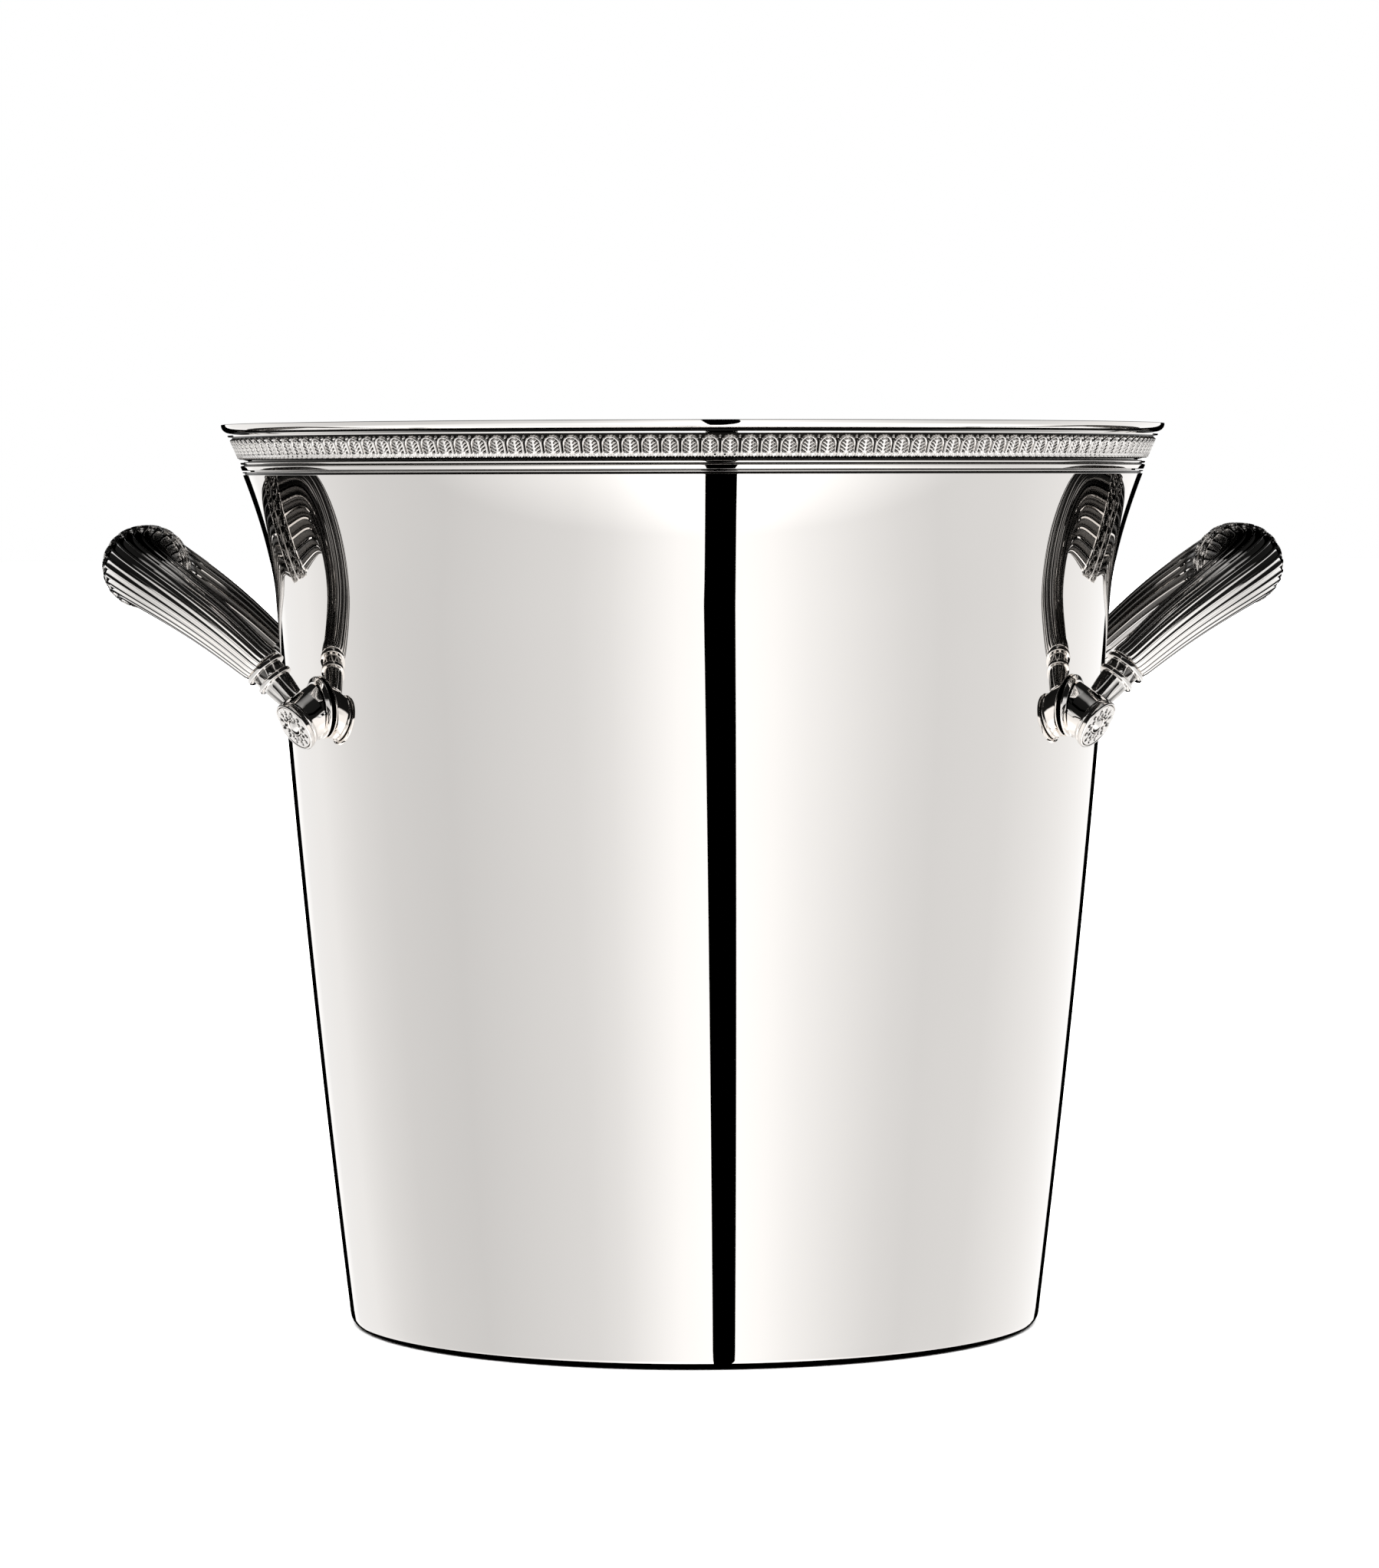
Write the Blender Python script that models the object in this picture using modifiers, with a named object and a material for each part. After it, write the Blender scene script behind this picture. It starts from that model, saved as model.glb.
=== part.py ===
"""Silver champagne bucket with two upright loop handles, as its separate pieces.

Metres, +Z up. The origin is the centre of the base, and the handles stand at +X and -X.
The bucket is a spun shell. Its rim is built up from a bead wire, a stamped frieze band and
an everted lip. Each handle is two fluted arms joined by a crown band. Each arm ends in a
turned collar on a boss, which stands on a wall plate and is closed by a rosette.
"""
import math

import bmesh
import bpy
from mathutils import Matrix, Vector

OBJECT_NAME = "silver_champagne_bucket"

# Clearance between pieces that touch on the real object.
GAP = 0.0003

# Bucket wall: a slightly bowed cone that flares under the rim.
HEIGHT = 0.200
BASE_RADIUS = 0.0768
WALL_THICKNESS = 0.0012
WALL_SLOPE = 0.1210
WALL_CURVE = 0.136
FLARE_START = 0.163
FLARE_TOP = 0.1891
FLARE_REACH = 0.00515
FLARE_POWER = 1.6
INNER_FLARE_TOP = 0.1825
CORNER_RADIUS = 0.0028
FOOT_WIDTH = 0.0065
BASE_RECESS = 0.0012

# Rim: the wall steps in to seat the bead, and leans out behind the frieze.
SEAT_RADIUS = 0.0982
SEAT_BOTTOM = 0.1896
SEAT_TOP = 0.1977
SEAT_LEAN = 0.25
BEAD_BOTTOM = 0.1899
BEAD_HEIGHT = 0.0019
BEAD_RADIUS = 0.1005
FRIEZE_BOTTOM = 0.1921
FRIEZE_TOP = 0.1976
FRIEZE_LOW_RADIUS = 0.1009
FRIEZE_HIGH_RADIUS = 0.1033
LIP_BOTTOM = 0.1980
LIP_NECK_RADIUS = 0.1026
LIP_RADIUS = 0.1047
LIP_INNER_RADIUS = 0.0990
LIP_EDGE = 0.0003

# Handle centre line: straight through the crown band, then a squarish quarter ellipse down to
# the collar, in a plane that leans outward, with a slight arch out of that plane.
CROWN_CENTRE_X = 0.1217
CROWN_CENTRE_Z = 0.1687
HANDLE_TILT = math.radians(37.0)
HANDLE_RISE = 0.0535
HANDLE_HALF_SPREAD = 0.0402
HANDLE_SQUARENESS = 4.6
HANDLE_ARCH = 0.0010
COLLAR_RISE = 0.0174
ARM_LOW_RADIUS = 0.0043
ARM_HIGH_RADIUS = 0.0088
ARM_SECTIONS = 9
FLUTES = 24
FLUTE_DEPTH = 0.05

CROWN_HALF_WIDTH = 0.0085
CROWN_RADIUS = 0.0092
CROWN_WAIST_RADIUS = 0.0086
CROWN_RIDGE_HALF_WIDTH = 0.0010
CROWN_TEETH = 36
CROWN_TOOTH_DEPTH = 0.0005

# Collar, along its axis from the arm end down to the boss. It is aimed at a point of the
# boss's axis, COLLAR_AIM out from the wall.
COLLAR_AIM = 0.0038
RING_HALF_HEIGHT = 0.0006
UPPER_RING_RADIUS = 0.0047
LOWER_RING_RADIUS = 0.0042
DRUM_RADIUS = 0.0037
RING_SPACING = 0.0031
NECK_TOP_RADIUS = 0.0034
NECK_LOW_RADIUS = 0.0028
NECK_LENGTH = 0.0090

# Boss, wall plate and rosette.
BOSS_HEIGHT_ON_WALL = 0.1388
BOSS_AZIMUTH = math.radians(27.0)
BOSS_TURN = math.radians(33.0)
BOSS_DIP = math.radians(32.0)
BOSS_RADIUS = 0.0054
BOSS_LENGTH = 0.0066
PLATE_RADIUS = 0.0068
PLATE_THICKNESS = 0.0009
ROSETTE_RADIUS = 0.00575
ROSETTE_THICKNESS = 0.0011
ROSETTE_DOME_RADIUS = 0.0017
ROSETTE_DOME_HEIGHT = 0.0004

BUCKET_SEGMENTS = 60
SMALL_SEGMENTS = 18
COLLAR_SEGMENTS = 16
MERGE_DISTANCE = 0.00001
SHARP_ANGLE = math.radians(32.0)

SIDES = {"left": -1, "right": 1}
ENDS = {"front": -1, "rear": 1}

POLISHED_SILVER = ((0.86, 0.85, 0.83), 0.04)
WORN_SILVER = ((0.80, 0.79, 0.77), 0.12)
OXIDISED_SILVER = ((0.62, 0.61, 0.59), 0.22)


def clear_scene():
    for obj in list(bpy.data.objects):
        bpy.data.objects.remove(obj, do_unlink=True)


def new_collection(name):
    collection = bpy.data.collections.new(name)
    bpy.context.scene.collection.children.link(collection)
    return collection


def metal(name, finish):
    """A Principled metal of its own for one piece."""
    colour, roughness = finish
    material = bpy.data.materials.new(name + "_silver")
    material.use_nodes = True
    shader = material.node_tree.nodes["Principled BSDF"]
    shader.inputs["Base Color"].default_value = (*colour, 1.0)
    shader.inputs["Roughness"].default_value = roughness
    shader.inputs["Metallic"].default_value = 1.0
    return material


def add_object(name, data, collection, matrix=None):
    obj = bpy.data.objects.new(name, data)
    if matrix is not None:
        obj.matrix_world = matrix
    collection.objects.link(obj)
    return obj


def add_guide(name, data, collection, matrix=None):
    """A cutter or a profile, which isn't part of the object."""
    guide = add_object(name, data, collection, matrix)
    guide.hide_render = True
    guide.display_type = "WIRE"
    return guide


def shade(mesh):
    mesh.shade_smooth()
    mesh.set_sharp_from_angle(angle=SHARP_ANGLE)


def settle(obj):
    """Replace the object's mesh by what its modifiers make of it."""
    bpy.context.view_layer.update()
    graph = bpy.context.evaluated_depsgraph_get()
    mesh = bpy.data.meshes.new_from_object(obj.evaluated_get(graph))
    mesh.name = obj.name
    obj.modifiers.clear()
    obj.data = mesh
    shade(mesh)


def axis_frame(point, axis, along=Vector((0.0, 0.0, 1.0))):
    """A matrix at point whose Z runs along axis, with its X square to `along`."""
    z_axis = axis.normalized()
    x_axis = along.cross(z_axis).normalized()
    y_axis = z_axis.cross(x_axis)
    return Matrix.Translation(point) @ Matrix((x_axis, y_axis, z_axis)).transposed().to_4x4()


def turned(name, profile, segments, collection, finish, matrix=None, ring=False):
    """Turn an (r, z) profile round Z. It runs down the outer side of the piece."""
    count = len(profile)
    edges = [(i, i + 1) for i in range(count - 1)]
    if ring:
        edges.append((count - 1, 0))
    mesh = bpy.data.meshes.new(name)
    mesh.from_pydata([(r, 0.0, z) for r, z in profile], edges, [])
    obj = add_object(name, mesh, collection, matrix)
    screw = obj.modifiers.new("Turn", "SCREW")
    screw.steps = segments
    screw.render_steps = segments
    screw.use_merge_vertices = True
    screw.merge_threshold = MERGE_DISTANCE
    settle(obj)
    obj.data.materials.append(metal(name, finish))
    return obj


def arc(centre, radius, start, end, steps):
    """Points of an arc in the (r, z) plane, with angles in degrees from +r."""
    turns = [math.radians(start + (end - start) * i / steps) for i in range(steps + 1)]
    return [(centre[0] + radius * math.cos(a), centre[1] + radius * math.sin(a)) for a in turns]


def cut(obj, cutter):
    boolean = obj.modifiers.new("Cut", "BOOLEAN")
    boolean.operation = "DIFFERENCE"
    boolean.solver = "EXACT"
    boolean.object = cutter
    settle(obj)


# ---------------------------------------------------------------- bucket and rim


def wall_radius(z):
    """Outer radius of the bucket wall at height z."""
    flare = max(0.0, (z - FLARE_START) / (FLARE_TOP - FLARE_START)) ** FLARE_POWER
    return BASE_RADIUS + z * (WALL_SLOPE - WALL_CURVE * z) + FLARE_REACH * flare


def seat_radius(z):
    """Outer radius of the wall behind the bead and the frieze."""
    return SEAT_RADIUS + SEAT_LEAN * (z - SEAT_BOTTOM)


def spread(low, high, count):
    return [low + (high - low) * i / (count - 1) for i in range(count)]


def bucket_shell(collection):
    floor = BASE_RECESS + WALL_THICKNESS
    corner_centre = (wall_radius(CORNER_RADIUS) - CORNER_RADIUS, CORNER_RADIUS)
    inner_corner = 2.0 * CORNER_RADIUS
    inner_start = wall_radius(floor + inner_corner) - WALL_THICKNESS
    profile = [(0.0, floor)]
    profile += arc((inner_start - inner_corner, floor + inner_corner), inner_corner, -90, 0, 2)
    lower_wall = spread(floor + inner_corner, FLARE_START, 5)[1:]
    for z in lower_wall + spread(FLARE_START, INNER_FLARE_TOP, 4)[1:]:
        profile.append((wall_radius(z) - WALL_THICKNESS, z))
    profile.append((SEAT_RADIUS - WALL_THICKNESS, SEAT_BOTTOM))
    profile.append((seat_radius(SEAT_TOP) - WALL_THICKNESS, SEAT_TOP))
    profile.append((seat_radius(SEAT_TOP), SEAT_TOP))
    profile.append((SEAT_RADIUS, SEAT_BOTTOM))
    profile.append((wall_radius(FLARE_TOP), SEAT_BOTTOM))
    for z in spread(FLARE_TOP, FLARE_START, 6)[:-1] + spread(FLARE_START, CORNER_RADIUS, 6):
        profile.append((wall_radius(z), z))
    profile += arc(corner_centre, CORNER_RADIUS, 0, -90, 2)[1:]
    foot_inner = corner_centre[0] - FOOT_WIDTH
    profile.append((foot_inner, 0.0))
    profile.append((foot_inner - 2.0 * BASE_RECESS, BASE_RECESS))
    profile.append((0.0, BASE_RECESS))
    turned("bucket_shell", profile, BUCKET_SEGMENTS, collection, POLISHED_SILVER)


def rim_bead(collection):
    """The half-round wire under the frieze, seated against the wall."""
    half = BEAD_HEIGHT / 2.0
    middle = BEAD_BOTTOM + half
    inner = seat_radius(BEAD_BOTTOM + BEAD_HEIGHT) + GAP
    profile = arc((BEAD_RADIUS - half, middle), half, 90, -90, 4)
    profile += [(inner, BEAD_BOTTOM), (inner, BEAD_BOTTOM + BEAD_HEIGHT)]
    turned("rim_bead", profile, BUCKET_SEGMENTS, collection, POLISHED_SILVER, ring=True)


def frieze_band(collection):
    """The leaning strip that carries the palmettes, with a rounded upper shoulder."""
    shoulder = 0.0005
    profile = [
        (FRIEZE_HIGH_RADIUS - shoulder, FRIEZE_TOP),
        (FRIEZE_HIGH_RADIUS, FRIEZE_TOP - shoulder),
        (FRIEZE_LOW_RADIUS, FRIEZE_BOTTOM),
        (seat_radius(FRIEZE_BOTTOM) + GAP, FRIEZE_BOTTOM),
        (seat_radius(FRIEZE_TOP) + GAP, FRIEZE_TOP),
    ]
    turned("frieze_band", profile, BUCKET_SEGMENTS, collection, OXIDISED_SILVER, ring=True)


def rim_lip(collection):
    """The everted lip: a hollow moulding that sweeps out to a thin edge, with a flat top."""
    cove = HEIGHT - LIP_EDGE - LIP_BOTTOM
    reach = LIP_RADIUS - LIP_NECK_RADIUS
    profile = [(LIP_RADIUS, HEIGHT), (LIP_RADIUS, HEIGHT - LIP_EDGE)]
    for turn in (30, 60, 90):
        angle = math.radians(turn)
        r = LIP_RADIUS - reach * math.sin(angle)
        profile.append((r, LIP_BOTTOM + cove * (math.cos(angle))))
    profile += [(LIP_INNER_RADIUS, LIP_BOTTOM), (LIP_INNER_RADIUS, HEIGHT)]
    turned("rim_lip", profile, BUCKET_SEGMENTS, collection, POLISHED_SILVER, ring=True)


# ---------------------------------------------------------------- handles


def handle_point(side, end, rise, spread_y):
    """A point of the arched handle: rise runs up its plane from the boss line."""
    down = HANDLE_RISE - rise
    arch = HANDLE_ARCH * math.sin(math.pi * down / (HANDLE_RISE - COLLAR_RISE))
    x = CROWN_CENTRE_X - down * math.cos(HANDLE_TILT) - arch * math.sin(HANDLE_TILT)
    z = CROWN_CENTRE_Z - down * math.sin(HANDLE_TILT) + arch * math.cos(HANDLE_TILT)
    return Vector((side * x, end * spread_y, z))


def arm_point(side, end, turn):
    """A point of the centre line, from turn 0 at the boss line to 90 degrees at the crown."""
    crown_edge = CROWN_HALF_WIDTH + GAP
    across, up = math.cos(turn), math.sin(turn)
    power = HANDLE_SQUARENESS
    stretch = (across ** power + up ** power) ** (-1.0 / power)
    reach = (HANDLE_HALF_SPREAD - crown_edge) * across * stretch
    return handle_point(side, end, HANDLE_RISE * up * stretch, crown_edge + reach)


def collar_turn():
    share = COLLAR_RISE / HANDLE_RISE
    power = HANDLE_SQUARENESS
    return math.atan2(share, (1.0 - share ** power) ** (1.0 / power))


def collar_frame(side, end):
    """Frame at the upper ring's centre, whose Z runs down the collar to the boss's axis."""
    point = arm_point(side, end, collar_turn())
    target = wall_contact(side, end)[0] + boss_axis(side, end) * COLLAR_AIM
    return axis_frame(point, target - point)


def fluted_section(collection):
    """A closed outline of unit radius with one hollow for each flute."""
    curve = bpy.data.curves.new("flute_section", "CURVE")
    curve.dimensions = "2D"
    points = 2 * FLUTES
    spline = curve.splines.new("POLY")
    spline.points.add(points - 1)
    spline.use_cyclic_u = True
    for i, point in enumerate(spline.points):
        radius = 1.0 - FLUTE_DEPTH * (i % 2)
        angle = -2.0 * math.pi * i / points
        point.co = (radius * math.cos(angle), radius * math.sin(angle), 0.0, 1.0)
    return add_guide("flute_section", curve, collection)


def arm(side_name, end_name, section, collection):
    """A fluted arm that swells from the collar up to the crown band."""
    side, end = SIDES[side_name], ENDS[end_name]
    name = f"{side_name}_{end_name}_arm"
    turns = spread(collar_turn(), math.pi / 2.0, ARM_SECTIONS)
    path = [arm_point(side, end, turn) for turn in turns]
    collar_up = -collar_frame(side, end).col[2].to_3d()
    path[0] = path[0] + collar_up * (RING_HALF_HEIGHT + GAP)
    path.insert(1, path[0] + collar_up * ARM_LOW_RADIUS / 4.0)
    path.insert(-1, path[-1] + Vector((0.0, end * ARM_HIGH_RADIUS / 8.0, 0.0)))
    length = sum((b - a).length for a, b in zip(path, path[1:]))
    curve = bpy.data.curves.new(name, "CURVE")
    curve.dimensions = "3D"
    curve.twist_mode = "MINIMUM"
    curve.bevel_mode = "OBJECT"
    curve.bevel_object = section
    curve.use_fill_caps = True
    spline = curve.splines.new("POLY")
    spline.points.add(len(path) - 1)
    travelled = 0.0
    for i, place in enumerate(path):
        if i:
            travelled += (place - path[i - 1]).length
        spline.points[i].co = (*place, 1.0)
        spline.points[i].radius = (ARM_LOW_RADIUS
                                   + (ARM_HIGH_RADIUS - ARM_LOW_RADIUS) * travelled / length)
    obj = add_object(name, curve, collection)
    curve.materials.append(metal(name, POLISHED_SILVER))
    return obj


def crown_band(side_name, collection):
    """The band round the handle's crown: two rows of leaf tips and a plain ridge between."""
    name = f"{side_name}_crown_band"
    centre = handle_point(SIDES[side_name], 1, HANDLE_RISE, 0.0)
    ridge_edge = 2.0 * CROWN_RIDGE_HALF_WIDTH
    profile = [
        (0.0, CROWN_HALF_WIDTH),
        (CROWN_RADIUS, CROWN_HALF_WIDTH),
        (CROWN_WAIST_RADIUS, ridge_edge),
        (CROWN_RADIUS, CROWN_RIDGE_HALF_WIDTH),
        (CROWN_RADIUS, -CROWN_RIDGE_HALF_WIDTH),
        (CROWN_WAIST_RADIUS, -ridge_edge),
        (CROWN_RADIUS, -CROWN_HALF_WIDTH),
        (0.0, -CROWN_HALF_WIDTH),
    ]
    frame = axis_frame(centre, Vector((0.0, 1.0, 0.0)))
    band = turned(name, profile, 2 * CROWN_TEETH, collection, OXIDISED_SILVER, frame)
    for vertex in band.data.vertices:
        radius = math.hypot(vertex.co.x, vertex.co.y)
        at_edge = abs(vertex.co.z) > CROWN_HALF_WIDTH - MERGE_DISTANCE
        if radius > CROWN_WAIST_RADIUS and at_edge:
            step = round(math.atan2(vertex.co.y, vertex.co.x) * CROWN_TEETH / math.pi)
            if step % 2:
                vertex.co.xy *= 1.0 - CROWN_TOOTH_DEPTH / radius
    shade(band.data)


def boss_axis(side, end):
    flat = math.cos(BOSS_DIP)
    return Vector((side * flat * math.cos(BOSS_TURN), end * flat * math.sin(BOSS_TURN), -math.sin(BOSS_DIP)))


def wall_contact(side, end):
    """The point on the wall that a boss stands on, and the wall's outward normal there."""
    z = BOSS_HEIGHT_ON_WALL
    radius = wall_radius(z)
    outward = Vector((side * math.cos(BOSS_AZIMUTH), end * math.sin(BOSS_AZIMUTH), 0.0))
    slope = WALL_SLOPE - 2.0 * WALL_CURVE * z
    normal = (outward - Vector((0.0, 0.0, slope))).normalized()
    return outward * radius + Vector((0.0, 0.0, z)), normal


def wall_plate(side_name, end_name, collection):
    """The soldering plate between the wall and a boss, with a bevelled outer edge."""
    contact, normal = wall_contact(SIDES[side_name], ENDS[end_name])
    edge = PLATE_THICKNESS / 2.0
    profile = [
        (0.0, PLATE_THICKNESS),
        (PLATE_RADIUS - edge, PLATE_THICKNESS),
        (PLATE_RADIUS, edge),
        (PLATE_RADIUS, 0.0),
        (0.0, 0.0),
    ]
    frame = axis_frame(contact + normal * GAP, normal)
    turned(f"{side_name}_{end_name}_wall_plate", profile, SMALL_SEGMENTS, collection, WORN_SILVER, frame)


def cylinder_mesh(name, radius, length, segments):
    """A capped cylinder from z = 0 to z = length."""
    shape = bmesh.new()
    bmesh.ops.create_cone(shape, cap_ends=True, segments=segments, radius1=radius,
                          radius2=radius, depth=length,
                          matrix=Matrix.Translation((0.0, 0.0, length / 2.0)))
    mesh = bpy.data.meshes.new(name)
    shape.to_mesh(mesh)
    shape.free()
    return mesh


def boss(side_name, end_name, collection, guides):
    """A short drum, cut off square to the wall at its inner end."""
    side, end = SIDES[side_name], ENDS[end_name]
    name = f"{side_name}_{end_name}_boss"
    contact, normal = wall_contact(side, end)
    axis = boss_axis(side, end)
    drum = cylinder_mesh(name, BOSS_RADIUS, 2.0 * BOSS_LENGTH, SMALL_SEGMENTS)
    start = contact - axis * BOSS_LENGTH
    obj = add_object(name, drum, collection, axis_frame(start, axis))
    drum.materials.append(metal(name, WORN_SILVER))
    depth = 2.0 * BOSS_LENGTH
    slab = cylinder_mesh(name + "_cutter", 2.0 * BOSS_LENGTH, depth, SMALL_SEGMENTS)
    face = contact + normal * (2.0 * GAP + PLATE_THICKNESS - depth)
    cut(obj, add_guide(name + "_cutter", slab, guides, axis_frame(face, normal)))


def rosette(side_name, end_name, collection):
    """The round cap on a boss: a raised rim, a sunk field and a domed centre."""
    side, end = SIDES[side_name], ENDS[end_name]
    axis = boss_axis(side, end)
    top = ROSETTE_THICKNESS
    field = 0.6 * ROSETTE_THICKNESS
    profile = [
        (0.0, field + ROSETTE_DOME_HEIGHT),
        (ROSETTE_DOME_RADIUS * 0.6, field + ROSETTE_DOME_HEIGHT * 0.8),
        (ROSETTE_DOME_RADIUS, field),
        (ROSETTE_RADIUS * 0.86, field),
        (ROSETTE_RADIUS * 0.92, top),
        (ROSETTE_RADIUS, top * 0.8),
        (ROSETTE_RADIUS, 0.0),
        (0.0, 0.0),
    ]
    frame = axis_frame(wall_contact(side, end)[0] + axis * (BOSS_LENGTH + GAP), axis)
    turned(f"{side_name}_{end_name}_rosette", profile, SMALL_SEGMENTS, collection, OXIDISED_SILVER, frame)


def collar(side_name, end_name, collection, guides):
    """A turned collar: ring, drum, ring, and a neck whose end is saddled over the boss."""
    side, end = SIDES[side_name], ENDS[end_name]
    name = f"{side_name}_{end_name}_collar"
    half = RING_HALF_HEIGHT
    lower = RING_SPACING
    neck_end = lower + NECK_LENGTH
    # Local Z runs down towards the boss, so the outer side is listed from the neck's end.
    profile = [
        (0.0, neck_end),
        (NECK_LOW_RADIUS, neck_end),
        (NECK_LOW_RADIUS, lower + NECK_LENGTH * 0.5),
        (NECK_TOP_RADIUS, lower + half),
        (LOWER_RING_RADIUS, lower + half * 0.5),
        (LOWER_RING_RADIUS, lower - half * 0.5),
        (DRUM_RADIUS, lower - half),
        (DRUM_RADIUS, half),
        (UPPER_RING_RADIUS, half * 0.5),
        (UPPER_RING_RADIUS, -half * 0.5),
        (ARM_LOW_RADIUS, -half),
        (0.0, -half),
    ]
    obj = turned(name, profile, COLLAR_SEGMENTS, collection, WORN_SILVER, collar_frame(side, end))
    axis = boss_axis(side, end)
    clearance = cylinder_mesh(name + "_cutter", BOSS_RADIUS + GAP, 6.0 * BOSS_LENGTH, 3 * COLLAR_SEGMENTS)
    start = wall_contact(side, end)[0] - axis * 3.0 * BOSS_LENGTH
    cut(obj, add_guide(name + "_cutter", clearance, guides, axis_frame(start, axis)))


def main():
    clear_scene()
    parts = new_collection(OBJECT_NAME)
    guides = new_collection("cutters_and_guides")
    bucket_shell(parts)
    rim_bead(parts)
    frieze_band(parts)
    rim_lip(parts)
    section = fluted_section(guides)
    for side_name in SIDES:
        crown_band(side_name, parts)
        for end_name in ENDS:
            arm(side_name, end_name, section, parts)
            collar(side_name, end_name, parts, guides)
            boss(side_name, end_name, parts, guides)
            wall_plate(side_name, end_name, parts)
            rosette(side_name, end_name, parts)


main()
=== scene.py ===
"""Looks of the silver champagne bucket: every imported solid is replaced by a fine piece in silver.

Metres, in the frame's own axes: +Z up, origin at the centre of the base, handles at +X and -X.
"""
import math

import bpy
import numpy as np
from mathutils import Matrix, Vector


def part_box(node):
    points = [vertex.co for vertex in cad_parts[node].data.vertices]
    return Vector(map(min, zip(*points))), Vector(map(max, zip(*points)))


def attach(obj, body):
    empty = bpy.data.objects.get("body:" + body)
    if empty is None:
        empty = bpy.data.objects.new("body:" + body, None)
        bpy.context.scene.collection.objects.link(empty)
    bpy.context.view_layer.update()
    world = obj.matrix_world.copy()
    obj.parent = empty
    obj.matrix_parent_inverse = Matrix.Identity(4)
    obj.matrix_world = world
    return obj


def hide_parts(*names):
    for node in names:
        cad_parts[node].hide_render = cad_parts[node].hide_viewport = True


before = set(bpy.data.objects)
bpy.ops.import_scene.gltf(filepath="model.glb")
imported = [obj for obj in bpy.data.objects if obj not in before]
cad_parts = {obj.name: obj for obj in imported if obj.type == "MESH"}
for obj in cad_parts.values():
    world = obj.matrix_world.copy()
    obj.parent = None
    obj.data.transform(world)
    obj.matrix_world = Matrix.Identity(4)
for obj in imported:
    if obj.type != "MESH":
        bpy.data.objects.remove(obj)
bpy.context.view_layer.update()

BODY = "root"
MM = 0.001

# The clearance that stands for a soldered joint, and where a turned profile stops at its axis.
GAP = 0.0003
HUB = 0.0001

# ---------------------------------------------------------------- sizes

# Bucket wall, as in the CAD source.
BASE_RADIUS = 0.0768
WALL_THICKNESS = 0.0012
WALL_SLOPE = 0.1210
WALL_CURVE = 0.136
FLARE_START = 0.163
FLARE_TOP = 0.1891
FLARE_REACH = 0.00515
FLARE_POWER = 1.6
CORNER_RADIUS = 0.0028
FOOT_WIDTH = 0.0065
BASE_RECESS = 0.0012
SEAT_RADIUS = 0.0982
SEAT_BOTTOM = 0.1896
SEAT_TOP = 0.1977
SEAT_LEAN = 0.25

# Rim pieces: their boxes in the frame give their heights and outer radii.
LIP_LOW, LIP_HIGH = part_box("rim_lip")
BEAD_LOW, BEAD_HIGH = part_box("rim_bead")
FRIEZE_LOW, FRIEZE_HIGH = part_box("frieze_band")
LIP_INNER_RADIUS = 0.0990
LIP_NECK_RADIUS = 0.1026
FRIEZE_LOW_RADIUS = 0.1009

# Handles.
CROWN_LOW, CROWN_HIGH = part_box("right_crown_band")
CROWN_CENTRE = (CROWN_LOW + CROWN_HIGH) / 2.0
CROWN_RADIUS = (CROWN_HIGH.z - CROWN_LOW.z) / 2.0
CROWN_HALF_WIDTH = CROWN_HIGH.y
HANDLE_TILT = math.radians(37.0)
HANDLE_RISE = 0.0535
HANDLE_HALF_SPREAD = 0.0402
HANDLE_SQUARENESS = 4.6
HANDLE_ARCH = 0.0010
COLLAR_RISE = 0.0174
COLLAR_AIM = 0.0038
ARM_LOW_RADIUS = 0.0043
ARM_HIGH_RADIUS = 0.0088
RING_HALF_HEIGHT = 0.0006
UPPER_RING_RADIUS = 0.0047
LOWER_RING_RADIUS = 0.0042
DRUM_RADIUS = 0.0037
RING_SPACING = 0.0031
NECK_TOP_RADIUS = 0.0034
NECK_LOW_RADIUS = 0.0028
NECK_LENGTH = 0.0090

# Bosses, plates and rosettes.
BOSS_HEIGHT_ON_WALL = 0.1388
BOSS_AZIMUTH = math.radians(27.0)
BOSS_TURN = math.radians(33.0)
BOSS_DIP = math.radians(32.0)
BOSS_RADIUS = 0.0054
BOSS_LENGTH = 0.0066
PLATE_RADIUS = 0.0068
PLATE_THICKNESS = 0.0009
ROSETTE_RADIUS = 0.00575
ROSETTE_THICKNESS = 0.0011

SIDES = {"left": -1, "right": 1}
ENDS = {"front": -1, "rear": 1}

# Ornament: counts, depths of relief, and the rosette's pits and slots in millimetres.
PALMETTES = 156
FRIEZE_DEPTH = 0.00075
FLUTES = 24
CROWN_LEAVES = 18
CROWN_DEPTH = 0.0008
ROSETTE_PETALS = 12
ROSETTE_DEPTH = 0.0006
ROSETTE_PIT_PLACE = 2.85
ROSETTE_SLOT_PLACE = 3.9
DRUM_LEAVES = 10
DRUM_RELIEF = 0.00045
NECK_RELIEF = 0.00035

# ---------------------------------------------------------------- small mathematics


def smooth(x, edge, width):
    """0 below the edge and 1 above it, turning smoothly over width."""
    t = np.clip((x - edge) / width + 0.5, 0.0, 1.0)
    return t * t * (3.0 - 2.0 * t)


def round_ridge(distance, half_width):
    """1 on a line and 0 beyond half_width, with a round section."""
    return np.sqrt(np.clip(1.0 - (distance / half_width) ** 2, 0.0, 1.0))


def spread(low, high, count):
    return list(np.linspace(low, high, count))


def wall_radius(z):
    """Outer radius of the bucket wall at height z."""
    flare = max(0.0, (z - FLARE_START) / (FLARE_TOP - FLARE_START)) ** FLARE_POWER
    return BASE_RADIUS + z * (WALL_SLOPE - WALL_CURVE * z) + FLARE_REACH * flare


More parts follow.
